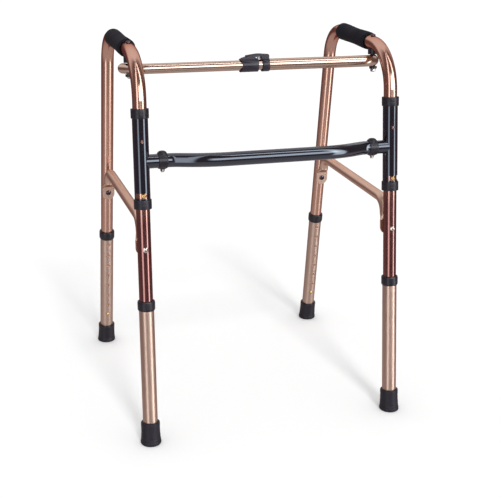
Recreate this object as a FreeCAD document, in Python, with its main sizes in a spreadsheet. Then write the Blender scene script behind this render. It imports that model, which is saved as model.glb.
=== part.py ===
# Folding walking frame: two inverted-U side frames hinged in black sleeves at the front,
# joined by a bowed crossbar and a telescopic upper bar, on four adjustable legs.
#
# Frame of the part: +Z up, +X to the right, front at -Y, origin on the floor at the
# middle of the four feet. Each leg has a frame of its own: z runs up its axis from the
# floor, y points to the rear.
import FreeCAD, Part
import Sketcher
import math
import os
import re

Vector = FreeCAD.Vector
Placement = FreeCAD.Placement
Rotation = FreeCAD.Rotation
UP = Vector(0, 0, 1)
ACROSS = Vector(1, 0, 0)
REARWARD = Vector(0, 1, 0)

SIZES = {
    # stance
    "base_half_depth": 238.0, "base_half_width": 246.7, "leg_splay": 7.25, "side_lean": 0.48,
    "handle_level": 713.0, "front_bend": 85.0, "rear_bend": 65.0,
    # side frame tube and leg extensions
    "tube_od": 25.4, "tube_bore": 23.0, "tube_foot": 48.0,
    "extension_od": 28.0, "extension_bore": 25.9, "extension_base": 13.0, "extension_top": 276.0,
    "hole_pitch": 25.0, "hole_count": 8, "lowest_hole": 75.2, "hole_dia": 7.4,
    "leg_collar_od": 32.6, "leg_collar_low": 261.0, "leg_collar_high": 279.5,
    "running_bore": 26.0,
    # rubber feet
    "foot_base_od": 39.0, "foot_rim_od": 34.0, "foot_rim_level": 43.0, "foot_floor": 10.5,
    "washer_od": 27.0, "washer_bore": 8.0, "washer_gauge": 2.0,
    # hinge sleeves
    "sleeve_od": 28.6, "sleeve_low": 453.0, "sleeve_high": 628.0, "sleeve_hole_dia": 6.0,
    "sleeve_hole_level": 573.0, "collar_od": 32.6, "collar_tall": 17.0, "collar_lip": 2.0,
    "slot_level": 475.5, "slot_tall": 9.6, "slot_inward": 36.0, "slot_outward": 108.0,
    "slot_button_dia": 8.6,
    # lower crossbar
    "crossbar_level": 535.5, "crossbar_od": 25.4, "crossbar_bore": 22.6, "stub_reach": 43.0,
    "crossbar_bow": 31.0, "crossbar_end": 14.0, "crossbar_slope": 60.0, "end_bend": 36.0,
    "bow_bend": 150.0, "joiner_od": 22.4, "joiner_bore": 19.4, "joiner_long": 28.0,
    "clamp_od": 29.0, "clamp_wide": 17.0, "clamp_dome": 18.2, "clamp_bolt_dia": 5.0,
    "clamp_offset": 38.0,
    # side brace
    "brace_od": 20.0, "brace_bore": 17.6, "brace_level": 422.0, "brace_bend": 34.0,
    "brace_bolt_level": 377.0, "pad_wide": 26.0, "pad_gauge": 5.0, "pad_low": 361.5,
    "pad_top": 390.0, "taper_top": 402.0, "brace_bolt_dia": 6.0,
    # hand grip
    "grip_od": 34.2, "grip_waist": 32.0, "grip_front": -50.0, "grip_rear": 87.0,
    # telescopic upper bar
    "pivot_offset": 80.0, "bar_level": 695.0, "outer_od": 21.6, "outer_bore": 19.2,
    "inner_od": 18.6, "inner_bore": 16.2, "bar_bow": 20.2, "bar_bend": 32.0, "bar_turn": 68.0,
    "bar_tail": 22.0, "mouth": 8.5, "overlap": 47.5, "left_split": 1.6,
    "pivot_bolt_dia": 6.0, "bush_od": 9.0, "bracket_od": 20.0, "lower_washer_od": 15.0,
    # latch of the upper bar
    "latch_radius": 12.6, "latch_left": -37.0, "sleeve_end": -3.2, "ring_left": 5.5, "ring_right": 18.6,
    "ridge_wide": 13.0, "well_floor": 11.7, "well_wide": 8.4,
    "lever_wide": 7.8, "lever_back": 3.5, "lever_level": 13.9, "lever_pin_dia": 2.0,
    "lock_pin_dia": 3.0, "lock_hole_dia": 4.3, "lock_pin_low": 8.3,
    # snap buttons
    "button_dia": 7.0, "button_travel": 3.6,
}

os.makedirs("parts", exist_ok=True)
doc = FreeCAD.newDocument("walking_frame")
sheet = doc.addObject("Spreadsheet::Sheet", "Sizes")
for row, (alias, value) in enumerate(SIZES.items(), 1):
    sheet.set(f"A{row}", alias)
    sheet.set(f"B{row}", str(value))
    sheet.setAlias(f"B{row}", alias)
doc.recompute()

subparts = []


def bound(expression):
    """An expression of plain size names, with the sheet's name before each of them."""
    return re.sub("[a-z][a-z_]*", lambda word: "Sizes." + word[0] if word[0] in SIZES else word[0],
                  expression)


def size(expression):
    """Value of an expression of plain size names, in millimetres."""
    return float(sheet.evalExpression(bound(expression)))


def keep(solid, node, place):
    """Name a finished sub-part and put it at its place in the part."""
    solid.Label = node
    solid.Placement = place
    subparts.append(solid)
    return solid


def turned(direction):
    """Rotation that lays the z axis along a direction."""
    return Rotation(UP, direction)


def cylinder(name, radius, height, base=Vector(), direction=UP):
    """Cylinder from a base point along a direction, its sizes bound to the sheet."""
    solid = doc.addObject("Part::Cylinder", name)
    solid.setExpression("Radius", bound(radius))
    solid.setExpression("Height", bound(height))
    solid.Placement = Placement(base, turned(direction))
    return solid


def box(name, long, wide, tall, centre):
    """Box about a centre, its sizes bound to the sheet."""
    solid = doc.addObject("Part::Box", name)
    solid.setExpression("Length", bound(long))
    solid.setExpression("Width", bound(wide))
    solid.setExpression("Height", bound(tall))
    solid.Placement = Placement(centre - Vector(size(long), size(wide), size(tall)) / 2, Rotation())
    return solid


def fuse(name, *solids):
    """One solid from several."""
    whole = doc.addObject("Part::MultiFuse", name)
    whole.Shapes = list(solids)
    return whole


def cut(name, solid, *tools):
    """A solid less the tools."""
    result = doc.addObject("Part::Cut", name)
    result.Base = solid
    result.Tool = tools[0] if len(tools) == 1 else fuse(name + "_tools", *tools)
    return result


def group(name, *solids):
    """Several separate solids as one object."""
    whole = doc.addObject("Part::Compound", name)
    whole.Links = list(solids)
    return whole


def origin_plane(body, role):
    """A body's own origin plane."""
    return next(feature for feature in body.Origin.OriginFeatures if feature.Role == role)


def sketch_on(body, name, role):
    """An empty sketch on one of a body's origin planes."""
    sketch = body.newObject("Sketcher::SketchObject", name)
    sketch.AttachmentSupport = [(origin_plane(body, role), "")]
    sketch.MapMode = "FlatFace"
    return sketch


def turn_profile(name, outline):
    """Body turned about its z axis from an outline of (radius, height) expressions."""
    body = doc.addObject("PartDesign::Body", name)
    sketch = sketch_on(body, name + "_outline", "XZ_Plane")
    points = [Vector(size(radius), size(height), 0) for radius, height in outline]
    count = len(points)
    for index, point in enumerate(points):
        sketch.addGeometry(Part.LineSegment(point, points[(index + 1) % count]))
    for index, (radius, height) in enumerate(outline):
        sketch.addConstraint(Sketcher.Constraint("Coincident", index, 2, (index + 1) % count, 1))
        for kind, expression, value, axis in (("DistanceX", radius, points[index].x, -2),
                                              ("DistanceY", height, points[index].y, -1)):
            if value == 0:
                sketch.addConstraint(Sketcher.Constraint("PointOnObject", index, 1, axis))
            else:
                number = sketch.addConstraint(Sketcher.Constraint(kind, -1, 1, index, 1, value))
                sketch.setExpression(f"Constraints[{number}]", bound(expression))
    turn = body.newObject("PartDesign::Revolution", name + "_turn")
    turn.Profile = sketch
    turn.ReferenceAxis = (sketch, ["V_Axis"])
    turn.Angle = 360
    return body


def rounded_path(corners, radii):
    """Straight runs and tangent arcs through corner points, one radius per inner corner."""
    edges = []
    start = corners[0]
    for before, corner, after, radius in zip(corners, corners[1:], corners[2:], radii):
        inward = (before - corner).normalize()
        onward = (after - corner).normalize()
        half = inward.getAngle(onward) / 2
        reach = radius / math.tan(half)
        first = corner + inward * reach
        last = corner + onward * reach
        middle = corner + (inward + onward).normalize() * (radius / math.sin(half) - radius)
        edges.append(Part.LineSegment(start, first))
        edges.append(Part.Arc(first, middle, last))
        start = last
    edges.append(Part.LineSegment(start, corners[-1]))
    return edges


def bent_tube(name, plane, section_plane, edges, section_at, outside, bore):
    """Body of a hollow tube swept along a sketched path of runs and arcs."""
    body = doc.addObject("PartDesign::Body", name)
    path = sketch_on(body, name + "_path", plane)
    path.addGeometry(edges)
    section = sketch_on(body, name + "_section", section_plane)
    section.AttachmentOffset = section_at
    for diameter in (outside, bore):
        circle = Part.Circle(Vector(), UP, size(diameter) / 2)
        index = section.addGeometry(circle)
        section.addConstraint(Sketcher.Constraint("Coincident", index, 3, -1, 1))
        number = section.addConstraint(Sketcher.Constraint("Diameter", index, size(diameter)))
        section.setExpression(f"Constraints[{number}]", bound(diameter))
    doc.recompute()
    sweep = body.newObject("PartDesign::AdditivePipe", name + "_sweep")
    sweep.Profile = section
    sweep.Spine = path
    return body


# Places of the side planes, the legs and the hinge axes -------------------------------

SIDES = {"left": -1, "right": 1}
ENDS = {"front": -1, "rear": 1}
splay = math.radians(size("leg_splay"))


def side_place(side):
    """Plane of a side frame: x outwards from it, its foot line on the floor."""
    lean = Rotation(REARWARD, -side * size("side_lean"))
    return Placement(Vector(side * size("base_half_width"), 0, 0), lean)


def leg_place(side, end):
    """A leg's own frame: origin on the floor, z up the leg; end is -1 in front, 1 behind."""
    foot = Vector(0, end * size("base_half_depth"), 0)
    return side_place(side).multiply(Placement(foot, Rotation(ACROSS, end * size("leg_splay"))))


def in_front_frame(side):
    """Rear leg's frame as seen from the front leg's frame of the same side."""
    return leg_place(side, -1).inverse().multiply(leg_place(side, 1))


def plane_to_front(side, y, z):
    """A point of the side plane, given in the front leg's frame."""
    world = side_place(side).multVec(Vector(0, y, z))
    return leg_place(side, -1).inverse().multVec(world)


def hinge_plane(offset, level):
    """Frame at a point of the plane across the hinge axes: z along the front legs."""
    tilt = Rotation(ACROSS, -size("leg_splay"))
    origin = Vector(0, -size("base_half_depth"), 0)
    return Placement(origin, tilt).multiply(Placement(Vector(0, offset, level), Rotation()))


def axis_half_gap(level):
    """Half the distance between the front legs' axes at a level along them."""
    return size("base_half_width") - math.sin(math.radians(size("side_lean"))) * level * math.cos(splay)


def crossbar_at_hinge(side):
    """Crossbar's frame, moved along to a hinge axis, as seen from that front leg's frame."""
    level = size("crossbar_level")
    in_part = hinge_plane(0, level).multiply(Placement(Vector(side * axis_half_gap(level), 0, 0),
                                                       Rotation()))
    return leg_place(side, -1).inverse().multiply(in_part)


def leg_line(end, along):
    """Point of a leg's axis in the side plane, a distance along it from the floor."""
    return end * (size("base_half_depth") - along * math.sin(splay)), along * math.cos(splay)


handle_half = size("base_half_depth") - size("handle_level") * math.tan(splay)


# Side frames: one tube bent to an upside-down U, with the holes for its fasteners ------

def side_frame(name, side):
    corners = [plane_to_front(side, *leg_line(-1, size("tube_foot"))),
               plane_to_front(side, -handle_half, size("handle_level")),
               plane_to_front(side, handle_half, size("handle_level")),
               plane_to_front(side, *leg_line(1, size("tube_foot")))]
    flat = [Vector(point.y, point.z, 0) for point in corners]
    edges = rounded_path(flat, [size("front_bend"), size("rear_bend")])
    start = Placement(Vector(0, 0, size("tube_foot")), Rotation())
    tube = bent_tube(name + "_tube", "YZ_Plane", "XY_Plane", edges, start, "tube_od", "tube_bore")
    rear = in_front_frame(side)
    forward = -REARWARD
    holes = [
        cylinder(name + "_front_button_hole", "hole_dia / 2", "tube_od",
                 Vector(0, 0, size("lowest_hole")), REARWARD),
        cylinder(name + "_slot_button_hole", "slot_button_dia / 2 + 0.3", "tube_od",
                 Vector(0, 0, size("slot_level")), forward),
        cylinder(name + "_front_bolt_hole", "brace_bolt_dia / 2 + 0.1", "tube_od * 2",
                 Vector(0, -size("tube_od"), size("brace_bolt_level")), REARWARD),
        cylinder(name + "_rear_button_hole", "hole_dia / 2", "tube_od",
                 rear.multVec(Vector(0, 0, size("lowest_hole"))),
                 rear.Rotation.multVec(forward)),
        cylinder(name + "_rear_bolt_hole", "brace_bolt_dia / 2 + 0.1", "tube_od * 2",
                 rear.multVec(Vector(0, -size("tube_od"), size("brace_bolt_level"))),
                 rear.Rotation.multVec(REARWARD)),
        cylinder(name + "_pivot_hole", "pivot_bolt_dia / 2 + 0.1", "tube_od * 2",
                 Vector(0, size("pivot_offset"), handle_over_pivot() - size("tube_od"))),
    ]
    keep(cut(name, tube, *holes), name, leg_place(side, -1))


def handle_over_pivot():
    """Height of the handle's centre line above the pivot, along the front leg's axis."""
    return (size("handle_level") + size("pivot_offset") * math.sin(splay)) / math.cos(splay)


# Hand grips: foam sleeves with a waist and fuller ends --------------------------------

def hand_grip(name, side):
    outline = [("tube_od / 2 + 0.05", "0"), ("grip_waist / 2", "0"), ("grip_od / 2 - 0.3", "2"),
               ("grip_od / 2", "9"), ("grip_od / 2 - 0.4", "20"),
               ("grip_waist / 2", "(grip_rear - grip_front) * 0.4"),
               ("grip_waist / 2", "(grip_rear - grip_front) * 0.65"),
               ("grip_od / 2 - 0.4", "grip_rear - grip_front - 20"),
               ("grip_od / 2", "grip_rear - grip_front - 9"),
               ("grip_od / 2 - 0.3", "grip_rear - grip_front - 2"),
               ("grip_waist / 2", "grip_rear - grip_front"),
               ("tube_od / 2 + 0.05", "grip_rear - grip_front")]
    body = turn_profile(name, outline)
    along = Placement(Vector(0, size("grip_front"), size("handle_level")), turned(REARWARD))
    keep(body, name, side_place(side).multiply(along))


# Side braces: tubes with both ends flattened into pads along the legs ------------------

def brace_pad(name, side, end):
    """Flattened end of a brace, in the leg's frame: taper from the tube, then the pad."""
    inward = -end
    body = doc.addObject("PartDesign::Body", name)
    face = size("tube_od") / 2 + 0.1
    half_flat = size("pad_gauge") / 2
    sections = (("taper_top", "brace_od", "brace_od"), ("pad_top", "pad_wide", "pad_gauge"))
    sketches = []
    for level, wide, thick in sections:
        sketch = sketch_on(body, f"{name}_{level}", "XY_Plane")
        sketch.AttachmentOffset = Placement(Vector(0, 0, size(level)), Rotation())
        centre = Vector(0, inward * (face + size(thick) / 2), 0)
        major, minor = size(wide) / 2, size(thick) / 2
        if major == minor:
            sketch.addGeometry(Part.Circle(centre, UP, major))
        else:
            sketch.addGeometry(Part.Ellipse(centre + Vector(major, 0, 0),
                                            centre + Vector(0, minor, 0), centre))
        sketches.append(sketch)
    doc.recompute()
    loft = body.newObject("PartDesign::AdditiveLoft", name + "_taper")
    loft.Profile = sketches[0]
    loft.Sections = [sketches[1]]
    loft.Ruled = True
    doc.recompute()
    middle = Vector(0, inward * (face + half_flat), 0)
    plate = box(name + "_plate", "pad_wide - 0.4", "pad_gauge - 0.2",
                "pad_top - pad_low - pad_wide / 2",
                middle + Vector(0, 0, (size("pad_top + pad_low") + size("pad_wide") / 2) / 2))
    tip = cylinder(name + "_tip", "pad_wide / 2 - 0.2", "pad_gauge - 0.2",
                   middle + Vector(0, -half_flat + 0.1, size("pad_low + pad_wide / 2")), REARWARD)
    whole = fuse(name + "_whole", body, plate, tip)
    drill = cylinder(name + "_drill", "brace_bolt_dia / 2 + 0.1", "tube_od * 2",
                     Vector(0, -size("tube_od"), size("brace_bolt_level")), REARWARD)
    pad = cut(name + "_drilled", whole, drill)
    pad.Placement = leg_place(side, -1).inverse().multiply(leg_place(side, end))
    return pad


def side_brace(name, side):
    offset = size("tube_od") / 2 + 0.1 + size("brace_od") / 2
    rear = in_front_frame(side)
    low, level = size("taper_top"), size("brace_level")
    start = Vector(0, offset, low)
    finish = rear.multVec(Vector(0, -offset, low))
    corner_y = -size("base_half_depth") + level * math.tan(splay) + offset / math.cos(splay)
    corners = [start, plane_to_front(side, corner_y, level), plane_to_front(side, -corner_y, level),
               finish]
    flat = [Vector(point.y, point.z, 0) for point in corners]
    radius = min(size("brace_bend"), 0.98 * (corners[1] - start).Length * math.tan(
        (math.pi / 2 + splay) / 2))
    edges = rounded_path(flat, [radius, radius])
    where = Placement(Vector(0, offset, low), Rotation())
    tube = bent_tube(name + "_tube", "YZ_Plane", "XY_Plane", edges, where, "brace_od", "brace_bore")
    pads = [brace_pad(f"{name}_{end}_pad", side, sign) for end, sign in ENDS.items()]
    keep(fuse(name, tube, *pads), name, leg_place(side, -1))


def bolt(name, head_radius, head_tall, shank, shank_long):
    """Domed bolt along z, its head's underside at zero and its shank below."""
    outline = [("0", head_tall), (f"({head_radius}) * 0.5", f"({head_tall}) * 0.9"),
               (f"({head_radius}) * 0.86", f"({head_tall}) * 0.5"), (head_radius, "0"),
               (f"({shank}) / 2", "0"), (f"({shank}) / 2", f"-({shank_long})"),
               ("0", f"-({shank_long})")]
    return turn_profile(name, outline)


def nut(name, across, tall, bore):
    """Hexagonal nut along z from zero."""
    body = doc.addObject("Part::Prism", name + "_hexagon")
    body.Polygon = 6
    body.setExpression("Circumradius", bound(f"({across}) / 1.732"))
    body.setExpression("Height", bound(tall))
    return cut(name, body, cylinder(name + "_thread", f"({bore}) / 2", f"({tall}) + 2", Vector(0, 0, -1)))


def brace_fasteners(label, side):
    """Domed bolt through each leg and pad, with a nut on the far side."""
    bolts, nuts = [], []
    reach = size("tube_od") / 2
    past_pad = reach + 0.1 + size("pad_gauge")
    for end, sign in ENDS.items():
        leg = leg_place(side, -1).inverse().multiply(leg_place(side, sign))
        head_at = reach + 0.1 if end == "front" else past_pad
        nut_at = past_pad if end == "front" else reach + 0.1
        screw = bolt(f"{label}_{end}_brace_bolt", "5.6", "3.2", "brace_bolt_dia",
                     "tube_od + pad_gauge + 5.5")
        if end == "rear":
            recess = cylinder(f"{label}_{end}_recess", "2.2", "3", Vector(0, 0, 1.4))
            screw = cut(f"{label}_{end}_socket_bolt", screw, recess)
        forward = Placement(Vector(0, -head_at, size("brace_bolt_level")), turned(-REARWARD))
        screw.Placement = leg.multiply(forward)
        bolts.append(screw)
        hexagon = nut(f"{label}_{end}_brace_nut", "10", "4.6", "brace_bolt_dia")
        behind = Placement(Vector(0, nut_at, size("brace_bolt_level")), turned(REARWARD))
        hexagon.Placement = leg.multiply(behind)
        nuts.append(hexagon)
    keep(group(label + "_brace_bolts", *bolts), label + "_brace_bolts", leg_place(side, -1))
    keep(group(label + "_brace_nuts", *nuts), label + "_brace_nuts", leg_place(side, -1))


# Legs: outer extension tube, clamping collar, rubber foot with its washer --------------

def leg_parts(name, side, end):
    place = leg_place(side, end)
    tube = cut(name + "_extension_pipe",
               cylinder(name + "_extension_rod", "extension_od / 2", "extension_top - extension_base",
                        Vector(0, 0, size("extension_base"))),
               cylinder(name + "_extension_core", "extension_bore / 2", "extension_top",
                        Vector(0, 0, size("extension_base") - 1)))
    facing = REARWARD if end == -1 else -REARWARD
    holes = [cylinder(f"{name}_hole_{step}", "hole_dia / 2", "extension_od",
                      Vector(0, 0, size("lowest_hole") + step * size("hole_pitch")), facing)
             for step in range(int(size("hole_count")))]
    keep(cut(name + "_extension", tube, *holes), name + "_extension", place)

    collar = [("running_bore / 2", "leg_collar_high"), ("leg_collar_od / 2 - 0.8", "leg_collar_high"),
              ("leg_collar_od / 2", "leg_collar_high - 0.8"), ("leg_collar_od / 2", "leg_collar_low + 2.4"),
              ("leg_collar_od / 2 - 1.6", "leg_collar_low"), ("extension_od / 2", "leg_collar_low"),
              ("extension_od / 2", "extension_top"), ("running_bore / 2", "extension_top")]
    keep(turn_profile(name + "_collar", collar), name + "_collar", place)

    foot = [("0", "-4"), ("foot_base_od / 2", "-4"), ("foot_base_od / 2", "4"),
            ("foot_rim_od / 2 + 0.9", "foot_rim_level - 9"), ("foot_rim_od / 2 + 0.6", "foot_rim_level - 1"),
            ("foot_rim_od / 2 - 0.4", "foot_rim_level"), ("extension_od / 2", "foot_rim_level"),
            ("extension_od / 2", "foot_floor"), ("0", "foot_floor")]
    rubber = turn_profile(name + "_rubber", [(radius, f"({level}) + 5") for radius, level in foot])
    rubber.Placement = Placement(Vector(0, 0, -5), Rotation())
    below = box(name + "_floor", "foot_base_od * 2", "foot_base_od * 2", "foot_base_od",
                Vector(0, 0, -size("foot_base_od") / 2))
    level = place.inverse().Rotation
    below.Placement = Placement(Vector(), level).multiply(below.Placement)
    keep(cut(name + "_foot", rubber, below), name + "_foot", place)

    washer = [("washer_bore / 2", "foot_floor"), ("washer_od / 2", "foot_floor"),
              ("washer_od / 2", "foot_floor + washer_gauge"),
              ("washer_bore / 2", "foot_floor + washer_gauge")]
    keep(turn_profile(name + "_washer", washer), name + "_washer", place)

    button = snap_button(name + "_button", "button_dia", "extension_od / 2 + 1.4")
    at_hole = Placement(Vector(0, 0, size("lowest_hole")), turned(facing))
    keep(button, name + "_button", place.multiply(at_hole))


def snap_button(name, diameter, tip):
    """Round-nosed button along z, from inside the tube to its tip."""
    outline = [("0", "tube_bore / 2 - 2.6"), (f"({diameter}) / 2 - 0.1", "tube_bore / 2 - 2.6"),
               (f"({diameter}) / 2 - 0.1", f"({tip}) - 1.6"), (f"({diameter}) / 2 - 0.7", f"({tip}) - 0.6"),
               (f"({diameter}) / 2 - 1.7", tip), ("0", tip)]
    return turn_profile(name, outline)


def leg_springs(name, side):
    """V springs inside the tube that push the three snap buttons of a side outwards."""
    rear = in_front_frame(side)
    springs = []
    seats = (("front", Placement(), "lowest_hole", 1), ("rear", rear, "lowest_hole", -1),
             ("slot", Placement(), "slot_level", -1))
    for label, frame, level, out in seats:
        reach = size("tube_bore") / 2 - 3.0
        height = size(level)
        blade = box(f"{name}_{label}_blade", "6", "0.6", "40", Vector(0, out * reach, height + 12))
        back = box(f"{name}_{label}_back", "6", "0.6", "40", Vector(0, -out * reach, height + 12))
        bend = box(f"{name}_{label}_bend", "6", "tube_bore - 5.4", "0.6", Vector(0, 0, height + 32))
        spring = fuse(f"{name}_{label}", blade, back, bend)
        spring.Placement = frame
        springs.append(spring)
    keep(group(name, *springs), name, leg_place(side, -1))


# Hinge sleeves: black tubes round the front legs, with a stub for the crossbar ---------

def hinge_sleeve(name, side):
    rod = cylinder(name + "_rod", "sleeve_od / 2", "sleeve_high - sleeve_low",
                   Vector(0, 0, size("sleeve_low")))
    at_stub = crossbar_at_hinge(side)
    inward = at_stub.Rotation.multVec(Vector(-side, 0, 0))
    stub = cylinder(name + "_stub", "crossbar_od / 2", "stub_reach", at_stub.Base, inward)
    core = cylinder(name + "_core", "running_bore / 2", "sleeve_high",
                    Vector(0, 0, size("sleeve_low") - 10))
    stub_core = cylinder(name + "_stub_core", "crossbar_bore / 2", "stub_reach + 5",
                         at_stub.Base, inward)
    sight = cylinder(name + "_sight_hole", "sleeve_hole_dia / 2", "sleeve_od",
                     Vector(0, 0, size("sleeve_hole_level")), -REARWARD)
    slot = cylinder(name + "_slot", "sleeve_od", "slot_tall",
                    Vector(0, 0, size("slot_level - slot_tall / 2")))
    slot.setExpression("Angle", bound("slot_inward + slot_outward"))
    first = -90 - (size("slot_outward") if side == -1 else size("slot_inward"))
    slot.Placement = Placement(slot.Placement.Base, Rotation(UP, first))
    drop = clamp_drill(name + "_bolt_hole", side)
    keep(cut(name, fuse(name + "_welded", rod, stub), core, stub_core, sight, slot, drop), name,
         leg_place(side, -1))


def clamp_drill(name, side):
    """Hole for the clamp's bolt, through the stub and what is inside it."""
    at_stub = crossbar_at_hinge(side)
    below = at_stub.multVec(Vector(-side * size("clamp_offset"), 0, -size("crossbar_od")))
    return cylinder(name, "clamp_bolt_dia / 2 + 0.05", "crossbar_od * 2", below,
                    at_stub.Rotation.multVec(UP))


def sleeve_collars(name, side):
    """Bushes pressed on both ends of a sleeve, each with a lip over the sleeve's edge."""
    rings = []
    for label, edge, inward in (("bottom", "sleeve_low", 1), ("top", "sleeve_high", -1)):
        sign = "+" if inward == 1 else "-"
        back = "-" if inward == 1 else "+"
        outline = [("running_bore / 2", f"{edge} {back} collar_lip"),
                   ("collar_od / 2 - 0.8", f"{edge} {back} collar_lip"),
                   ("collar_od / 2", f"{edge} {back} collar_lip {sign} 0.8"),
                   ("collar_od / 2", f"{edge} {sign} collar_tall {back} collar_lip {back} 0.8"),
                   ("collar_od / 2 - 0.8", f"{edge} {sign} collar_tall {back} collar_lip"),
                   ("sleeve_od / 2", f"{edge} {sign} collar_tall {back} collar_lip"),
                   ("sleeve_od / 2", edge), ("running_bore / 2", edge)]
        rings.append(turn_profile(f"{name}_{label}", outline))
    keep(group(name, *rings), name, leg_place(side, -1))


# Lower crossbar: black tube bowed forwards between the two stubs -----------------------

def crossbar_parts():
    level = size("crossbar_level")
    joint = axis_half_gap(level) - size("stub_reach") - 0.2
    bow = size("crossbar_bow")
    outer = joint - size("crossbar_end")
    inner = outer - size("crossbar_slope")
    corners = [Vector(-joint, 0, 0), Vector(-outer, 0, 0), Vector(-inner, -bow, 0),
               Vector(inner, -bow, 0), Vector(outer, 0, 0), Vector(joint, 0, 0)]
    end_bend, bow_bend = size("end_bend"), size("bow_bend")
    edges = rounded_path(corners, [end_bend, bow_bend, bow_bend, end_bend])
    start = Placement(Vector(0, 0, -joint), Rotation())
    tube = bent_tube("crossbar_tube", "XY_Plane", "YZ_Plane", edges, start, "crossbar_od",
                     "crossbar_bore")
    keep(tube, "lower_crossbar", hinge_plane(0, level))
    joiners, bolts, nuts = [], [], []
    for label, side in SIDES.items():
        clamp_x = axis_half_gap(level) - size("clamp_offset")
        middle = Vector(side * (joint + 9), 0, 0)
        pipe = cut(f"{label}_joiner_pipe",
                   cylinder(f"{label}_joiner_rod", "joiner_od / 2", "joiner_long",
                            middle - Vector(size("joiner_long") / 2, 0, 0), ACROSS),
                   cylinder(f"{label}_joiner_core", "joiner_bore / 2", "joiner_long + 2",
                            middle - Vector(size("joiner_long") / 2 + 1, 0, 0), ACROSS),
                   cylinder(f"{label}_joiner_drill", "clamp_bolt_dia / 2 + 0.05", "crossbar_od * 2",
                            Vector(side * clamp_x, 0, -size("crossbar_od"))))
        joiners.append(pipe)
        ring = cylinder(f"{label}_clamp_ring", "clamp_od / 2", "clamp_wide",
                        Vector(side * clamp_x - size("clamp_wide") / 2, 0, 0), ACROSS)
        crown = cylinder(f"{label}_clamp_crown", "clamp_wide / 2 - 1", "clamp_dome - 2.5",
                         Vector(side * clamp_x, 0, 0))
        dome = doc.addObject("Part::Cone", f"{label}_clamp_dome")
        dome.setExpression("Radius1", bound("clamp_wide / 2 - 1"))
        dome.setExpression("Radius2", bound("clamp_wide / 4"))
        dome.setExpression("Height", bound("2.5"))
        dome.Placement = Placement(Vector(side * clamp_x, 0, size("clamp_dome") - 2.5), Rotation())
        boss = cylinder(f"{label}_clamp_boss", "clamp_wide / 2 - 3", "clamp_od / 2 + 1.5",
                        Vector(side * clamp_x, 0, 0), -UP)
        inside = cylinder(f"{label}_clamp_bore", "crossbar_od / 2 + 0.05", "clamp_wide + 2",
                          Vector(side * clamp_x - size("clamp_wide") / 2 - 1, 0, 0), ACROSS)
        drill = cylinder(f"{label}_clamp_drill", "clamp_bolt_dia / 2 + 0.05", "crossbar_od * 2",
                         Vector(side * clamp_x, 0, 15.0), -UP)
        clamp = cut(f"{label}_clamp", fuse(f"{label}_clamp_outside", ring, crown, dome, boss), inside,
                    drill)
        keep(clamp, f"{label}_crossbar_clamp", hinge_plane(0, level))
        shank = cylinder(f"{label}_clamp_shank", "clamp_bolt_dia / 2", "36",
                         Vector(side * clamp_x, 0, -21.0))
        bolts.append(shank)
        hexagon = nut(f"{label}_clamp_nut", "7", "3.2", "clamp_bolt_dia")
        hexagon.Placement = Placement(Vector(side * clamp_x, 0, -size("clamp_od") / 2 - 4.7), Rotation())
        nuts.append(hexagon)
    keep(group("crossbar_joiners", *joiners), "crossbar_joiners", hinge_plane(0, level))
    keep(group("clamp_bolts", *bolts), "clamp_bolts", hinge_plane(0, level))
    keep(group("clamp_nuts", *nuts), "clamp_nuts", hinge_plane(0, level))


# Upper bar: two tubes sliding in each other, their curled ends on bolts under the grips --

def pivot_half_gap():
    """Half the distance between the bar's two pivots."""
    return axis_half_gap(size("bar_level"))


def bar_edges(side):
    """Path of one half of the bar, from its inner end to its curled outer end."""
    turn = math.radians(size("bar_turn"))
    radius = size("bar_bend")
    rise = radius * (1 - math.cos(turn))
    along = (size("bar_bow") - rise) / math.sin(turn)
    reach = radius * math.sin(turn) + along * math.cos(turn)
    corner = pivot_half_gap() - reach + radius * math.tan(turn / 2)
    tail = along + size("bar_tail") + radius * math.tan(turn / 2)
    inner = size("mouth") if side == 1 else size("mouth + overlap")
    points = [Vector(inner, 0, 0), Vector(side * corner, 0, 0),
              Vector(side * (corner + tail * math.cos(turn)), tail * math.sin(turn), 0)]
    return rounded_path(points, [radius]), points


def bar_half(name, side, outside, bore):
    edges, points = bar_edges(side)
    start = Placement(Vector(0, 0, points[0].x), Rotation())
    tube = bent_tube(name + "_tube", "XY_Plane", "YZ_Plane", edges, start, outside, bore)
    nose = doc.addObject("Part::Sphere", name + "_nose")
    nose.setExpression("Radius", bound(f"({outside}) / 2"))
    nose.Placement = Placement(points[-1], Rotation())
    hollow = doc.addObject("Part::Sphere", name + "_nose_hollow")
    hollow.setExpression("Radius", bound(f"({bore}) / 2"))
    hollow.Placement = Placement(points[-1], Rotation())
    direction = (points[-1] - points[1]).normalize()
    behind = cylinder(name + "_nose_trim", f"({outside}) / 2 + 1", f"{outside}",
                      points[-1] - direction * size(outside), direction)
    cap = cut(name + "_cap", nose, hollow, behind)
    whole = fuse(name + "_whole", tube, cap)
    to_bar = bar_place().inverse().multiply(leg_place(side, -1))
    below = to_bar.multVec(Vector(0, size("pivot_offset"), size("bar_level") - size(outside)))
    fit = "bush_od / 2 + 0.07" if side == 1 else "pivot_bolt_dia / 2 + 0.1"
    return whole, cylinder(name + "_pivot_hole", fit, f"({outside}) * 2", below,
                           to_bar.Rotation.multVec(UP))


def bar_place():
    return hinge_plane(size("pivot_offset") - size("bar_bow"), size("bar_level"))


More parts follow.
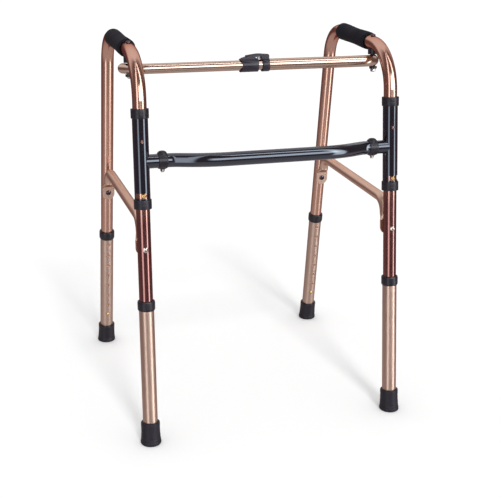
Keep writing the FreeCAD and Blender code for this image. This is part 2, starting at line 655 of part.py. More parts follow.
def upper_bar():
    place = bar_place()
    outer, outer_hole = bar_half("outer", 1, "outer_od", "outer_bore")
    keep(cut("outer_drilled", outer, outer_hole), "bar_outer_tube", place)
    inner, inner_hole = bar_half("inner", -1, "inner_od", "inner_bore")
    lock = cylinder("lock_hole", "lock_hole_dia / 2", "inner_od",
                    Vector(size("sleeve_end + ring_left") / 2, 0, 0))
    keep(cut("inner_drilled", inner, inner_hole, lock), "bar_inner_tube", place)
    plug_outline = [("inner_bore / 2 - 0.15", "0"), ("inner_bore / 2 - 0.15", "16"), ("4", "16"), ("4", "0")]
    plug = turn_profile("plug", plug_outline)
    at_end = Placement(Vector(size("mouth + overlap") - 18, 0, 0), turned(ACROSS))
    keep(plug, "bar_guide_plug", place.multiply(at_end))
    offset, level = size("pivot_offset"), size("bar_level")
    bush_low = "outer_od / 2 + 0.6"
    bush = [("pivot_bolt_dia / 2 + 0.06", "0"), ("bush_od / 2", "0"), ("bush_od / 2", f"({bush_low}) * 2"),
            ("pivot_bolt_dia / 2 + 0.06", f"({bush_low}) * 2")]
    at_pivot = Placement(Vector(0, offset, level - size(bush_low)), Rotation())
    keep(turn_profile("bush", bush), "pivot_bush", leg_place(1, -1).multiply(at_pivot))
    end_bolt = bolt("left_end", "5.2", "3.4", "pivot_bolt_dia", "inner_od + 5.6")
    below = Placement(Vector(0, offset, level - size("inner_od") / 2 - 5.4), turned(-UP))
    keep(end_bolt, "left_end_bolt", leg_place(-1, -1).multiply(below))
    washer = [("pivot_bolt_dia / 2 + 0.1", "0"), ("lower_washer_od / 2 - 1", "0"),
              ("lower_washer_od / 2", "1"), ("lower_washer_od / 2", "5"), ("pivot_bolt_dia / 2 + 0.1", "5")]
    seat = Placement(Vector(0, offset, level - size("inner_od") / 2 - 5.3), Rotation())
    keep(turn_profile("left_washer", washer), "left_end_washer", leg_place(-1, -1).multiply(seat))
    return washer


# Brackets and bolts that hang the bar under the handles --------------------------------

def bar_hangers(washer):
    handle = handle_over_pivot()
    for label, side in SIDES.items():
        outside = "inner_od" if side == -1 else "outer_od"
        split = size("left_split") if side == -1 else 0.8
        bottom = size("bar_level") + size(outside) / 2 + split
        block = cylinder(f"{label}_bracket_block", "bracket_od / 2",
                         f"{handle - bottom}", Vector(0, size("pivot_offset"), bottom))
        slope = Rotation(ACROSS, -size("leg_splay")).inverted().multVec(REARWARD)
        tube = cylinder(f"{label}_bracket_saddle", "tube_od / 2 + 0.05", "90",
                        Vector(0, size("pivot_offset"), handle) - slope * 45, slope)
        drill = cylinder(f"{label}_bracket_drill", "pivot_bolt_dia / 2 + 0.05", "60",
                         Vector(0, size("pivot_offset"), bottom - 10))
        keep(cut(f"{label}_bracket", block, tube, drill), f"{label}_bar_bracket", leg_place(side, -1))
        top = handle + size("tube_od") / 2 + 1.2
        foot = bottom + 0.1 if side == -1 else size("bar_level") - size("outer_od") / 2 - 11.5
        name = "left_bracket_bolt" if side == -1 else "right_pivot_bolt"
        screw = bolt(name, "5.4", "2.6", "pivot_bolt_dia", f"{top - foot}")
        keep(screw, name, leg_place(side, -1).multiply(
            Placement(Vector(0, size("pivot_offset"), top), Rotation())))
    low = size("bar_level") - size("outer_od") / 2 - 0.8
    at_right = leg_place(1, -1)
    keep(turn_profile("right_washer", washer), "right_pivot_washer", at_right.multiply(
        Placement(Vector(0, size("pivot_offset"), low - 5), Rotation())))
    hexagon = nut("right_nut", "10", "4.8", "pivot_bolt_dia")
    keep(hexagon, "right_pivot_nut", at_right.multiply(
        Placement(Vector(0, size("pivot_offset"), low - 5 - 4.9), Rotation())))


# Latch: guide sleeve, bridge and ring in one, with a rocking lever and its lock pin -----

def plate(name, outline, wide):
    """Plate of an (x, z) outline, as wide as asked, about the plane y = 0."""
    corners = [Vector(x, -wide / 2, z) for x, z in outline]
    solid = doc.addObject("Part::Feature", name)
    solid.Shape = Part.Face(Part.makePolygon(corners + corners[:1])).extrude(Vector(0, wide, 0))
    return solid


def latch_parts():
    place = bar_place()
    left, end = size("latch_left"), size("sleeve_end")
    ring, ring_end = size("ring_left"), size("ring_right")
    wide = size("ridge_wide")
    pivot = Vector(end - size("lever_back"), 0, size("lever_level"))
    lock_x = (end + ring) / 2

    sleeve = cylinder("latch_sleeve", "latch_radius", "sleeve_end - latch_left",
                      Vector(left, 0, 0), ACROSS)
    collar = cylinder("latch_ring", "latch_radius", "ring_right - ring_left",
                      Vector(ring, 0, 0), ACROSS)
    ridge = plate("latch_ridge", [
        (left + 3, 9), (left + 3, 13.2), (end - 12, 19), (end, 20.6), (ring, 20.4),
        (ring_end - 1.5, 19.6), (ring_end, 17), (ring_end, 9), (ring, 9), (ring - 1, 15.4),
        (end, 15.4), (end - 0.5, 9)], wide)
    lever_well = box("lever_well", "24", "well_wide", "12",
                     Vector(end - 11.5, 0, size("well_floor") + 6))
    pin_well = box("pin_well", "7.6", "well_wide", "14", Vector(lock_x - 0.15, 0, 17.6))
    inner_bore = cylinder("latch_inner_bore", "inner_od / 2 + 0.3", "40",
                          Vector(left - 1, 0, 0), ACROSS)
    outer_bore = cylinder("latch_outer_bore", "outer_od / 2 + 0.05", "30",
                          Vector(ring - 0.01, 0, 0), ACROSS)
    scoop = cylinder("latch_scoop", "17", "60", Vector(left - 13.4, -30, 0), REARWARD)
    pin_hole = cylinder("lever_pin_hole", "lever_pin_dia / 2 + 0.05", "ridge_wide + 2",
                        pivot - REARWARD * (wide / 2 + 1), REARWARD)
    blank = fuse("latch_blank", sleeve, collar, ridge)
    body = cut("latch_body_cut", blank, inner_bore, outer_bore, scoop, lever_well, pin_well, pin_hole)
    keep(body, "latch_body", place)

    half = size("lever_wide") / 2
    arm = plate("lever_arm", [
        (end - 22.5, 16.4), (end - 22.5, 18.2), (end - 11, 19.8), (end - 1, 21), (ring - 1.1, 20.8),
        (ring - 1.1, 17.4), (end + 1.5, 15.8), (end - 1.6, 15.2), (end - 1.6, pivot.z),
        (end - 5.4, pivot.z), (end - 5.4, 15.2)], 2 * half)
    eye = cylinder("lever_eye", "1.9", "lever_wide", pivot - REARWARD * half, REARWARD)
    eye_hole = cylinder("lever_eye_hole", "lever_pin_dia / 2 + 0.06", "lever_wide + 2",
                        pivot - REARWARD * (half + 1), REARWARD)
    pin_seat = cylinder("lock_pin_seat", "lock_pin_dia / 2", "10", Vector(lock_x, 0, 8))
    keep(cut("lever_cut", fuse("lever_whole", arm, eye), eye_hole, pin_seat), "latch_lever", place)

    cross_pin = cylinder("cross_pin", "lever_pin_dia / 2", "ridge_wide - 0.6",
                         pivot - REARWARD * (wide / 2 - 0.3), REARWARD)
    keep(cylinder_as_group("lever_pin", cross_pin), "latch_lever_pin", place)
    lock_pin = cylinder("lock_pin", "lock_pin_dia / 2", "18 - lock_pin_low",
                        Vector(lock_x, 0, size("lock_pin_low")))
    keep(cylinder_as_group("lock_pin_piece", lock_pin), "latch_lock_pin", place)


def cylinder_as_group(name, solid):
    """A single solid that keeps its own place within a placed sub-part."""
    return group(name, solid)


for label, side in SIDES.items():
    side_frame(label + "_side_frame", side)
    hand_grip(label + "_hand_grip", side)
    side_brace(label + "_side_brace", side)
    brace_fasteners(label, side)
    leg_springs(label + "_leg_springs", side)
    hinge_sleeve(label + "_hinge_sleeve", side)
    sleeve_collars(label + "_sleeve_collars", side)
    slot_button = snap_button(label + "_slot_button", "slot_button_dia", "sleeve_od / 2 + 0.9")
    keep(slot_button, label + "_slot_button", leg_place(side, -1).multiply(
        Placement(Vector(0, 0, size("slot_level")), turned(-REARWARD))))
    for end, sign in ENDS.items():
        leg_parts(f"{label}_{end}", side, sign)
crossbar_parts()
bar_hangers(upper_bar())
latch_parts()
doc.recompute()

for solid in doc.Objects:
    if {"Invalid", "Error"} & set(solid.State):
        raise RuntimeError(f"{solid.Name} is {solid.State}")
for subpart in subparts:
    shape = subpart.Shape
    if shape.isNull() or not shape.isValid() or not shape.Solids:
        raise RuntimeError(f"{subpart.Label} has no sound solid")
for subpart in subparts:
    subpart.Shape.exportStep(f"parts/{subpart.Label}.step")
print(len(subparts), "sub-parts written")
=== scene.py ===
import math
import bpy
import numpy as np
from mathutils import Matrix, Vector


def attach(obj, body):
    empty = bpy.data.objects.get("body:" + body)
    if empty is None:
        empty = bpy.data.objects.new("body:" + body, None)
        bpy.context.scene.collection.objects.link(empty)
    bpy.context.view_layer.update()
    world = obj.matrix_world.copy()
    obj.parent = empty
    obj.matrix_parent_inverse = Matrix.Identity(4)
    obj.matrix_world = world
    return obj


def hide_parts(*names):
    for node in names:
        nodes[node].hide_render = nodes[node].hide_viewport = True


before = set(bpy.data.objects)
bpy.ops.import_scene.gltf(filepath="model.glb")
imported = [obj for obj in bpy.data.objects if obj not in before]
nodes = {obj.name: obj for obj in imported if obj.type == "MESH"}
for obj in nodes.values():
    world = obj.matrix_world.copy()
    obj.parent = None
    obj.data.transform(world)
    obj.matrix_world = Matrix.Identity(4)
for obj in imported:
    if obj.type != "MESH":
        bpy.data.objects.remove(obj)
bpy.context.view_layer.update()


# The room: a pale floor under a white sky. Glossy parts see a dim studio instead, with two tall
# strip lights, a window of light in front, a pale sky behind and pale ground lower down.
world = bpy.data.worlds.new("studio")
world.use_nodes = True
bpy.context.scene.world = world
sky = world.node_tree
sky.nodes.clear()


def sky_math(operation, first, second=None):
    """One arithmetic step of the sky on sockets or numbers."""
    node = sky.nodes.new("ShaderNodeMath")
    node.operation = operation
    for socket, value in zip(node.inputs, (first, second)):
        if isinstance(value, bpy.types.NodeSocket):
            sky.links.new(value, socket)
        elif value is not None:
            socket.default_value = value
    return node.outputs[0]


def sky_fade(value, start, end):
    """0 where value is at start, 1 at end, with soft shoulders."""
    node = sky.nodes.new("ShaderNodeMapRange")
    node.interpolation_type = "SMOOTHSTEP"
    sky.links.new(value, node.inputs["Value"])
    node.inputs["From Min"].default_value = start
    node.inputs["From Max"].default_value = end
    return node.outputs["Result"]


direction = sky.nodes.new("ShaderNodeTexCoord")
axes = sky.nodes.new("ShaderNodeSeparateXYZ")
sky.links.new(direction.outputs["Generated"], axes.inputs["Vector"])
bearing = sky_math("ARCTAN2", axes.outputs["X"], sky_math("MULTIPLY", axes.outputs["Y"], -1.0))
rise = sky_math("ARCSINE", axes.outputs["Z"])


def strip(middle, half, edge, power):
    """A tall strip of light at a bearing, radians from the front towards the right."""
    away = sky_math("ABSOLUTE", sky_math("SUBTRACT", bearing, middle))
    return sky_math("MULTIPLY", sky_fade(away, half + edge, half), power)


strips = sky_math("ADD", strip(-0.74, 0.09, 0.16, 2.4), strip(0.82, 0.10, 0.12, 4.2))
strips = sky_math("MULTIPLY", strips, sky_fade(rise, -0.62, -0.30))
window = sky_math("MULTIPLY", sky_fade(rise, 0.06, 0.14), sky_fade(rise, 0.66, 0.50))
across = sky_math("ABSOLUTE", sky_math("SUBTRACT", bearing, 0.30))
window = sky_math("MULTIPLY", window, sky_math("MULTIPLY", sky_fade(across, 0.60, 0.40), 4.0))
ground = sky_math("MULTIPLY", sky_fade(rise, -0.20, -0.52), 0.40)
behind = sky_fade(sky_math("ABSOLUTE", bearing), 1.6, 2.3)
behind = sky_math("MULTIPLY", behind, sky_fade(rise, 0.08, 0.35))
behind = sky_math("MULTIPLY", behind, 0.80)
glow = sky_math("ADD", sky_math("ADD", strips, window), sky_math("ADD", ground, behind))


def background(colour, strength):
    """A background of a colour and strength, the latter a number or a socket."""
    node = sky.nodes.new("ShaderNodeBackground")
    node.inputs["Color"].default_value = (*colour, 1)
    if isinstance(strength, bpy.types.NodeSocket):
        sky.links.new(strength, node.inputs["Strength"])
    else:
        node.inputs["Strength"].default_value = strength
    return node.outputs[0]


def choose(share, first, second):
    """First background, or second for rays of the given kind."""
    node = sky.nodes.new("ShaderNodeMixShader")
    for socket, value in zip(node.inputs, (share, first, second)):
        sky.links.new(value, socket)
    return node.outputs[0]


white, dim_walls = (1, 1, 1), (0.20, 0.125, 0.125)
room = sky.nodes.new("ShaderNodeAddShader")
sky.links.new(background(white, glow), room.inputs[0])
sky.links.new(background(dim_walls, 1.0), room.inputs[1])
seen = sky.nodes.new("ShaderNodeLightPath")
lit = choose(seen.outputs["Is Camera Ray"], background(white, 0.84), background(white, 1.0))
out = sky.nodes.new("ShaderNodeOutputWorld")
sky.links.new(choose(seen.outputs["Is Glossy Ray"], lit, room.outputs[0]), out.inputs["Surface"])
bpy.context.scene.view_settings.view_transform = "Standard"

floor_mesh = bpy.data.meshes.new("floor")
reach = 9
floor_mesh.from_pydata([(-reach, -reach, 0), (reach, -reach, 0), (reach, reach, 0),
                        (-reach, reach, 0)], [], [(0, 1, 2, 3)])
floor = bpy.data.objects.new("floor", floor_mesh)
bpy.context.scene.collection.objects.link(floor)
floor_finish = bpy.data.materials.new("pale_floor")
floor_finish.use_nodes = True
floor_shader = floor_finish.node_tree.nodes["Principled BSDF"]
floor_shader.inputs["Base Color"].default_value = (0.97, 0.97, 0.97, 1)
floor_shader.inputs["Roughness"].default_value = 0.9
floor_shader.inputs["Specular IOR Level"].default_value = 0.0
floor_mesh.materials.append(floor_finish)
floor.visible_glossy = False


# Key light and camera: a soft sun from the front, high up, and a camera in front to the left,
# above the handles, turned right by yaw, down by pitch and tilted by roll.
lamp = bpy.data.lights.new("key", "SUN")
lamp.energy = 1.10
lamp.angle = 0.20
key = bpy.data.objects.new("key", lamp)
shining = Vector((-0.06, 1.0, -0.95))
key.rotation_euler = shining.to_track_quat("-Z", "Y").to_euler()
key.visible_glossy = False
bpy.context.scene.collection.objects.link(key)

eye = bpy.data.cameras.new("camera")
eye.sensor_width = 36
eye.lens = 73.9476
camera = bpy.data.objects.new("camera", eye)
yaw, pitch, roll = 0.3143, 0.3514, 0.0210
ahead = Vector((math.sin(yaw) * math.cos(pitch), math.cos(yaw) * math.cos(pitch), -math.sin(pitch)))
level = Vector((math.cos(yaw), -math.sin(yaw), 0))
upward = level.cross(ahead)
right = math.cos(roll) * level + math.sin(roll) * upward
top = -math.sin(roll) * level + math.cos(roll) * upward
turn = Matrix((right, top, -ahead)).transposed().to_4x4()
camera.matrix_world = Matrix.Translation((-0.6018, -1.9121, 1.0186)) @ turn
bpy.context.scene.collection.objects.link(camera)
bpy.context.scene.camera = camera


# Side frames, braces and leg extensions: aluminium tube, anodised a rosy bronze. Drawing left
# faint lines along the tube. The extensions and braces are satin and the bent frames polished,
# with painted shade darkening the lower half of their front legs.
def finish_nodes(name, metallic):
    """A new node material: its tree, its shader and its object coordinates."""
    finish = bpy.data.materials.new(name)
    finish.use_nodes = True
    tree = finish.node_tree
    shader = tree.nodes["Principled BSDF"]
    shader.inputs["Metallic"].default_value = metallic
    place = tree.nodes.new("ShaderNodeTexCoord").outputs["Object"]
    return finish, tree, shader, place


def noise(tree, place, scale, stretch=(1, 1, 1), detail=4):
    """Noise of a scale per metre over coordinates stretched along an axis."""
    lines = tree.nodes.new("ShaderNodeMapping")
    lines.inputs["Scale"].default_value = stretch
    tree.links.new(place, lines.inputs["Vector"])
    grain = tree.nodes.new("ShaderNodeTexNoise")
    grain.inputs["Scale"].default_value = scale
    grain.inputs["Detail"].default_value = detail
    tree.links.new(lines.outputs["Vector"], grain.inputs["Vector"])
    return grain.outputs["Fac"]


def spread(tree, value, low, high, start=0.0, end=1.0):
    """A value between start and end mapped on low to high."""
    span = tree.nodes.new("ShaderNodeMapRange")
    for socket, number in zip(span.inputs[1:5], (start, end, low, high)):
        socket.default_value = number
    tree.links.new(value, span.inputs["Value"])
    return span.outputs["Result"]


def blend_tones(tree, share, first, second):
    """Mix of two tones, each a colour or a socket."""
    tone = tree.nodes.new("ShaderNodeMix")
    tone.data_type = "RGBA"
    tree.links.new(share, tone.inputs["Factor"])
    for socket, value in zip((tone.inputs[6], tone.inputs[7]), (first, second)):
        if isinstance(value, bpy.types.NodeSocket):
            tree.links.new(value, socket)
        else:
            socket.default_value = (*value, 1)
    return tone.outputs[2]


def relief(tree, shader, value, depth, strength):
    """Bump of a depth in metres on the shader's normal."""
    bump = tree.nodes.new("ShaderNodeBump")
    bump.inputs["Strength"].default_value = strength
    bump.inputs["Distance"].default_value = depth
    tree.links.new(value, bump.inputs["Height"])
    tree.links.new(bump.outputs["Normal"], shader.inputs["Normal"])


def metal(name, colour, darker, roughness, grain, stretch, edge=(0.8, 0.62, 0.6)):
    """Metal whose tone wanders between two and whose roughness follows fine drawn lines."""
    finish, tree, shader, place = finish_nodes(name, 1.0)
    drawn = noise(tree, place, grain, stretch)
    cloud = noise(tree, place, 9, detail=2)
    tree.links.new(blend_tones(tree, cloud, colour, darker), shader.inputs["Base Color"])
    tree.links.new(spread(tree, drawn, roughness - 0.05, roughness + 0.07),
                   shader.inputs["Roughness"])
    shader.inputs["Specular Tint"].default_value = (*edge, 1)
    relief(tree, shader, drawn, 0.0001, 0.03)
    return finish


def dress(finish, *names):
    """Give CAD nodes a finish."""
    for name in names:
        mesh = nodes[name].data
        mesh.materials.clear()
        mesh.materials.append(finish)


polished_bronze = metal("polished_bronze", (0.64, 0.42, 0.33), (0.55, 0.34, 0.27), 0.17, 240,
                        (1, 1, 0.04), (0.6, 0.36, 0.34))
tree = polished_bronze.node_tree
where = tree.nodes.new("ShaderNodeSeparateXYZ")
tree.links.new(tree.nodes["Texture Coordinate"].outputs["Object"], where.inputs["Vector"])
# Painted shade: a darker bronze tone blended over the lower half of the front legs.
low = spread(tree, where.outputs["Z"], 1.0, 0.0, 0.42, 0.50)
front = spread(tree, where.outputs["Y"], 1.0, 0.0, -0.16, -0.10)
painted_shade_mask = tree.nodes.new("ShaderNodeMath")
painted_shade_mask.operation = "MULTIPLY"
tree.links.new(low, painted_shade_mask.inputs[0])
tree.links.new(front, painted_shade_mask.inputs[1])
shader = tree.nodes["Principled BSDF"]
plain = shader.inputs["Base Color"].links[0].from_socket
painted_shade_bronze = (0.30, 0.155, 0.145)
tree.links.new(blend_tones(tree, painted_shade_mask.outputs[0], plain, painted_shade_bronze),
               shader.inputs["Base Color"])
dress(polished_bronze, "left_side_frame", "right_side_frame")

satin_bronze = metal("satin_bronze", (0.60, 0.47, 0.39), (0.52, 0.39, 0.32), 0.36, 300,
                     (1, 1, 0.05))
dress(satin_bronze, *[f"{side}_{end}_extension" for side in ("left", "right")
                      for end in ("front", "rear")])
brace_bronze = metal("brace_bronze", (0.74, 0.56, 0.45), (0.64, 0.47, 0.37), 0.38, 300,
                     (1, 0.06, 1))
dress(brace_bronze, "left_side_brace", "right_side_brace")


# Fasteners and springs: zinc-plated steel, with dark screws through the handles' tops and brass
# snap buttons. Each was turned or pressed, so a fine grain covers it.
even = (1, 1, 1)
zinc = metal("zinc_plate", (0.72, 0.72, 0.71), (0.55, 0.55, 0.56), 0.24, 800, even,
             (0.9, 0.9, 0.9))
dark_steel = metal("dark_screws", (0.16, 0.12, 0.13), (0.10, 0.08, 0.09), 0.34, 800, even,
                   (0.6, 0.6, 0.6))
brass = metal("brass_button", (0.80, 0.56, 0.22), (0.66, 0.45, 0.17), 0.26, 900, even,
              (0.9, 0.7, 0.5))
fasteners = ("_bolts", "_nuts", "_nut", "_bolt", "_springs")
dress(zinc, *[name for name in nodes if name.endswith(fasteners)],
      "latch_lever_pin", "latch_lock_pin", "left_front_washer", "left_rear_washer",
      "right_front_washer", "right_rear_washer", "crossbar_joiners")
dress(dark_steel, "left_bracket_bolt", "right_pivot_bolt")
dress(brass, *[name for name in nodes if name.endswith("_button")])


# Brace bolts: the front ones have shiny domed heads, the rear ones black socket heads; one
# finish covers both, darkening towards the rear of the frame.
brace_bolt = metal("brace_bolts", (0.74, 0.66, 0.62), (0.60, 0.52, 0.49), 0.14, 800, even,
                   (0.8, 0.7, 0.7))
tree = brace_bolt.node_tree
where = tree.nodes.new("ShaderNodeSeparateXYZ")
tree.links.new(tree.nodes["Texture Coordinate"].outputs["Object"], where.inputs["Vector"])
shader = tree.nodes["Principled BSDF"]
plain = shader.inputs["Base Color"].links[0].from_socket
rearward = spread(tree, where.outputs["Y"], 0.0, 1.0, -0.05, 0.05)
black_oxide = (0.07, 0.055, 0.07)
tree.links.new(blend_tones(tree, rearward, plain, black_oxide), shader.inputs["Base Color"])
dress(brace_bolt, "left_brace_bolts", "right_brace_bolts")


# Hinge sleeves and lower crossbar: steel tube with a glossy black coat. The coat has the very
# fine ripple of baked powder, and a few duller patches where hands and boxes rubbed it.
def plastic(name, colour, lighter, roughness, uneven, grain, depth, specular=0.5):
    """Moulded or coated black whose tone and roughness vary with a fine grain."""
    finish, tree, shader, place = finish_nodes(name, 0.0)
    speckle = noise(tree, place, grain, detail=5)
    rubbed = noise(tree, place, 25, detail=3)
    shader.inputs["Specular IOR Level"].default_value = specular
    tree.links.new(blend_tones(tree, speckle, colour, lighter), shader.inputs["Base Color"])
    tree.links.new(spread(tree, rubbed, roughness - uneven, roughness + uneven, 0.3, 0.7),
                   shader.inputs["Roughness"])
    relief(tree, shader, speckle, depth, 0.5)
    return finish


black_coat = plastic("black_coat", (0.002, 0.002, 0.005), (0.004, 0.004, 0.008), 0.09, 0.03, 500,
                     0.00001, 1.0)
shader = black_coat.node_tree.nodes["Principled BSDF"]
shader.inputs["IOR"].default_value = 1.60
shader.inputs["Specular Tint"].default_value = (0.72, 0.84, 1.0, 1)
dress(black_coat, "left_hinge_sleeve", "right_hinge_sleeve", "lower_crossbar")


# Collars at both ends of each sleeve: moulded nylon bushes, pressed on. The rim of each is
# rounded over and a shallow groove runs round its middle, where the two mould halves met.
lean_angle, splay_angle = math.radians(0.48), math.radians(7.25)
half_width, half_depth = 246.7, 238.0


def leg_frame(side, end):
    """Rotation and origin of a leg's own frame: z up its axis from the floor, y to the rear."""
    lean, splay = -side * lean_angle, end * splay_angle
    over = np.array([[math.cos(lean), 0, math.sin(lean)], [0, 1, 0],
                     [-math.sin(lean), 0, math.cos(lean)]])
    tip = np.array([[1, 0, 0], [0, math.cos(splay), -math.sin(splay)],
                    [0, math.sin(splay), math.cos(splay)]])
    foot = np.array([side * half_width, 0, 0]) + over @ np.array([0, end * half_depth, 0])
    return over @ tip, foot / 1000


def rounded(corners, radius, steps=5):
    """Closed outline with every corner replaced by a quadratic arc reaching radius each way."""
    corners = np.asarray(corners, float)
    before, after = np.roll(corners, 1, 0) - corners, np.roll(corners, -1, 0) - corners
    back = np.linalg.norm(before, axis=1, keepdims=True)
    on = np.linalg.norm(after, axis=1, keepdims=True)
    start = corners + before / back * np.minimum(radius, back * 0.45)
    finish = corners + after / on * np.minimum(radius, on * 0.45)
    t = np.linspace(0, 1, steps)[None, :, None]
    arcs = ((1 - t) ** 2 * start[:, None] + 2 * t * (1 - t) * corners[:, None]
            + t ** 2 * finish[:, None])
    return arcs.reshape(-1, 2)


def swept(outline, around):
    """Radius, height and angle grids of a closed outline turned once about the z axis."""
    angle = np.linspace(0, 2 * math.pi, around, endpoint=False)
    radius = np.repeat(outline[:, :1], around, 1)
    height = np.repeat(outline[:, 1:], around, 1)
    return radius, height, np.repeat(angle[None], len(outline), 0)


def ring_faces(rows, around, offset=0):
    """Quads over a grid that closes on itself both ways."""
    row, column = np.meshgrid(np.arange(rows), np.arange(around), indexing="ij")
    below, beside = (row + 1) % rows, (column + 1) % around
    quads = np.stack([row * around + column, row * around + beside, below * around + beside,
                      below * around + column], -1)
    return quads.reshape(-1, 4) + offset


def piece(name, points, faces, finish, stands_for, body):
    """Closed smooth mesh in metres that rides on a body in place of some CAD nodes."""
    mesh = bpy.data.meshes.new(name)
    mesh.from_pydata(points.tolist(), [], [tuple(face) for face in faces])
    mesh.polygons.foreach_set("use_smooth", np.ones(len(faces), bool))
    mesh.update()
    mesh.materials.append(finish)
    thing = bpy.data.objects.new(name, mesh)
    bpy.context.scene.collection.objects.link(thing)
    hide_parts(*stands_for)
    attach(thing, body)
    return thing


def around_axis(radius, height, angle, axes, origin):
    """Points in metres of radius, height and angle grids in millimetres, about an axis."""
    local = np.stack([radius * np.cos(angle), radius * np.sin(angle), height], -1)
    return local.reshape(-1, 3) / 1000 @ axes.T + origin


nylon = plastic("black_nylon", (0.007, 0.007, 0.012), (0.014, 0.014, 0.022), 0.36, 0.07, 900,
                0.00004, 0.4)
turned = 112
for label, side in (("left", -1), ("right", 1)):
    axes, origin = leg_frame(side, -1)
    parts, faces, count = [], [], 0
    for edge, inward in ((453.0, 1), (628.0, -1)):
        lip, tail = edge - 2 * inward, edge + 15 * inward
        outline = rounded([(13.02, lip), (16.25, lip), (16.25, edge + 6.0 * inward),
                           (16.0, edge + 6.6 * inward), (16.25, edge + 7.2 * inward), (16.1, tail),
                           (14.32, tail), (14.32, edge), (13.02, edge)][::inward], 0.7)
        radius, height, angle = swept(outline, turned)
        parts.append(around_axis(radius, height, angle, axes, origin))
        faces.append(ring_faces(len(outline), turned, count))
        count += len(parts[-1])
    piece(f"{label}_nylon_bushes", np.vstack(parts), np.vstack(faces), nylon,
          [f"{label}_sleeve_collars"], "hinge_frame")


# Clamps over the crossbar's joints: each a nylon band with a domed boss over the bolt's head
# and a smaller one below for the nut, pressed flat where it meets the tube.
def clamp_band(side):
    """Band about the crossbar's axis; its outer radius swells to a dome at the top and a boss
    at the bottom, each a height times exp(-(distance / size) to the fourth or sixth power)."""
    outer, bore, half = 14.4, 12.77, 8.4
    rows, around = 33, 144
    along = np.concatenate([np.linspace(-half, half, rows), np.linspace(half, -half, 9)])
    turn = np.linspace(0, 2 * math.pi, around, endpoint=False)
    x, t = np.meshgrid(along, turn, indexing="ij")
    is_outer = (np.arange(len(along)) < rows)[:, None]
    soft = 0.9 * np.clip((np.abs(x) - half + 1.1) / 1.1, 0, 1) ** 2
    mid_wall, level, from_leg = 13.5, 535.5, 38.0
    over = mid_wall * (np.mod(t + math.pi, 2 * math.pi) - math.pi)
    dome = 3.8 * np.exp(-(np.hypot(x, over) / 7.6) ** 4)
    under = mid_wall * (t - math.pi)
    boss = 1.4 * np.exp(-(np.hypot(x, under) / 6.0) ** 6)
    radius = np.where(is_outer, outer - soft + dome + boss, bore)
    up = np.array([0, math.sin(splay_angle), math.cos(splay_angle)])
    back = np.array([0, math.cos(splay_angle), -math.sin(splay_angle)])
    out = half_width - math.sin(lean_angle) * level * math.cos(splay_angle) - from_leg
    centre = np.array([side * out, -half_depth, 0]) + up * level
    points = (centre + x[..., None] * np.array([1.0, 0, 0]) + (radius * np.cos(t))[..., None] * up
              + (radius * np.sin(t))[..., None] * back)
    return points.reshape(-1, 3) / 1000, ring_faces(len(along), around)


for label, side in (("left", -1), ("right", 1)):
    points, faces = clamp_band(side)
    piece(f"{label}_domed_clamp", points, faces[:, ::-1], nylon, [f"{label}_crossbar_clamp"],
          "hinge_frame")


# Upper bar: two telescoping tubes in polished bronze, hung under the handles from black
# brackets, with a moulded latch whose lever drops a pin through both tubes.
bar_bronze = metal("bar_bronze", (0.60, 0.48, 0.40), (0.52, 0.40, 0.33), 0.17, 260,
                   (0.04, 1, 1), (0.7, 0.6, 0.55))
dress(bar_bronze, "bar_outer_tube", "bar_inner_tube")
black_mould = plastic("black_mould", (0.012, 0.010, 0.019), (0.024, 0.021, 0.034), 0.30, 0.07,
                      900, 0.00003, 0.4)
for name in ("latch_body", "latch_lever"):
    joined = nodes[name].modifiers.new("joined_faces", "WELD")
    joined.merge_threshold = 0.00002
    softened = nodes[name].modifiers.new("rounded_edges", "BEVEL")
    softened.width = 0.0009
    softened.segments = 3
    softened.angle_limit = math.radians(35)
dress(black_mould, *[name for name in nodes if name.endswith("_bracket")],
      "latch_body", "latch_lever", "left_end_washer", "right_pivot_washer", "pivot_bush",
      "bar_guide_plug")


# Leg collars: nylon rings screwed onto the tops of the extensions, where they steady the
# frame's tube. The top edge is rounded and the lower one runs in to the tube on a bevel.
for label, side in (("left", -1), ("right", 1)):
    for place, end in (("front", -1), ("rear", 1)):
        axes, origin = leg_frame(side, end)
        outline = rounded([(14.03, 261.0), (14.7, 261.0), (16.2, 263.6), (16.3, 276.6),
                           (15.6, 279.5), (13.03, 279.5), (13.03, 276.05), (14.03, 276.05)], 0.8)
        radius, height, angle = swept(outline, turned)
        piece(f"{label}_{place}_nylon_collar", around_axis(radius, height, angle, axes, origin),
              ring_faces(len(outline), turned), nylon, [f"{label}_{place}_collar"],
              f"{label}_{place}_leg")


# Rubber feet: moulded cups over the ends of the legs, with a flared base, two grooves above it
# and a thick rim. The base is flat on the floor although the leg leans.
black_rubber = plastic("black_rubber", (0.008, 0.007, 0.012), (0.016, 0.015, 0.023), 0.52, 0.09,
                       700, 0.00008, 0.3)


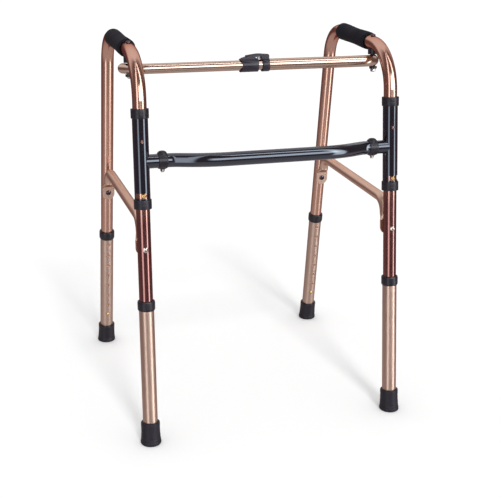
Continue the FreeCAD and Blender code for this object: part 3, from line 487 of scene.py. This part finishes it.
def foot_points(axes, origin):
    """Cup turned about the leg; each height is sheared by what is left of the floor's slope, so
    that the lowest ring lies on the floor and the rim stays square to the leg. The base and the
    well's floor each close in a fan about one middle point."""
    rim, around = 43.0, 128
    outside = [(0.4, 0.0), (17.6, 0.0), (19.5, 1.4), (19.5, 5.6), (18.7, 7.4), (18.5, 9.2),
               (18.9, 10.2), (18.3, 11.4), (18.1, 13.4), (18.4, 14.6), (17.9, 22.0),
               (17.65, 33.0), (17.9, 35.5), (17.85, 41.6), (16.9, rim)]
    inside = [(14.04, rim), (14.04, 10.6), (0.4, 10.6)]
    outline = rounded(outside + inside, 0.7, 4)
    outline = outline[outline[:, 0] > 1.2]
    radius, height, angle = swept(outline, around)
    slope = axes[2, 0] * radius * np.cos(angle) + axes[2, 1] * radius * np.sin(angle)
    lowered = height - slope / axes[2, 2] * np.clip(1 - height / rim, 0, 1)
    points = around_axis(radius, lowered, angle, axes, origin)
    middles = np.array([[0, 0, outline[0, 1]], [0, 0, outline[-1, 1]]]) / 1000 @ axes.T + origin
    here, count = np.arange(around), len(points)
    beside, last = (here + 1) % around, count - around
    base = np.stack([np.full(around, count), beside, here], -1)
    well = np.stack([last + here, last + beside, np.full(around, count + 1)], -1)
    sides = ring_faces(len(outline), around)[:last]
    return np.vstack([points, middles]), [*sides.tolist(), *base.tolist(), *well.tolist()]


for label, side in (("left", -1), ("right", 1)):
    for place, end in (("front", -1), ("rear", 1)):
        points, faces = foot_points(*leg_frame(side, end))
        piece(f"{label}_{place}_rubber_foot", points, faces, black_rubber,
              [f"{label}_{place}_foot"], f"{label}_{place}_leg")


# Hand grips: sleeves of closed-cell foam pulled over the handles. They bulge at both ends,
# narrow where the palm lies, and their skin is slightly lumpy and dull.
soft_foam = plastic("soft_foam", (0.005, 0.005, 0.009), (0.010, 0.010, 0.016), 0.8, 0.1, 1500,
                    0.0002, 0.15)


def grip_points(side):
    """Sleeve about the handle's axis from y -50 to 87 mm; the outside follows a cosine waist
    with quarter-round ends, plus low waves round and along it."""
    front, rear, bore, full, waist = -49.9, 86.9, 12.77, 17.0, 15.9
    level, around = 713.0, 120
    share = np.linspace(0, 1, 61)
    dip = 0.5 - 0.5 * np.cos(2 * math.pi * np.clip((share - 0.10) / 0.80, 0, 1))
    ends = np.sqrt(np.clip(1 - np.clip(1 - np.minimum(share, 1 - share) / 0.03, 0, 1) ** 2, 0, 1))
    outer = bore + 1.2 + (full - 1.2 - bore - (full - waist) * dip) * ends
    radius = np.concatenate([outer, np.full(9, bore)])
    y = np.concatenate([front + (rear - front) * share, np.linspace(rear, front, 9)])
    angle = np.linspace(0, 2 * math.pi, around, endpoint=False)
    r, t = np.meshgrid(radius, angle, indexing="ij")
    lump = 0.10 * np.sin(3 * t + y[:, None] * 0.11) * np.sin(y[:, None] * 0.17 + 2 * np.cos(t))
    r = np.where(r > bore + 1.5, r + lump, r)
    lean = -side * lean_angle
    out = np.array([math.cos(lean), 0, -math.sin(lean)])
    up = np.array([math.sin(lean), 0, math.cos(lean)])
    centre = np.array([side * half_width, 0, 0]) + up * level
    points = (centre + (r * np.cos(t))[..., None] * out + (r * np.sin(t))[..., None] * up
              + np.repeat(y[:, None], around, 1)[..., None] * np.array([0, 1.0, 0]))
    return points.reshape(-1, 3) / 1000, ring_faces(len(radius), around)[:, ::-1]


for label, side in (("left", -1), ("right", 1)):
    points, faces = grip_points(side)
    piece(f"{label}_foam_grip", points, faces, soft_foam, [f"{label}_hand_grip"],
          f"{label}_side")
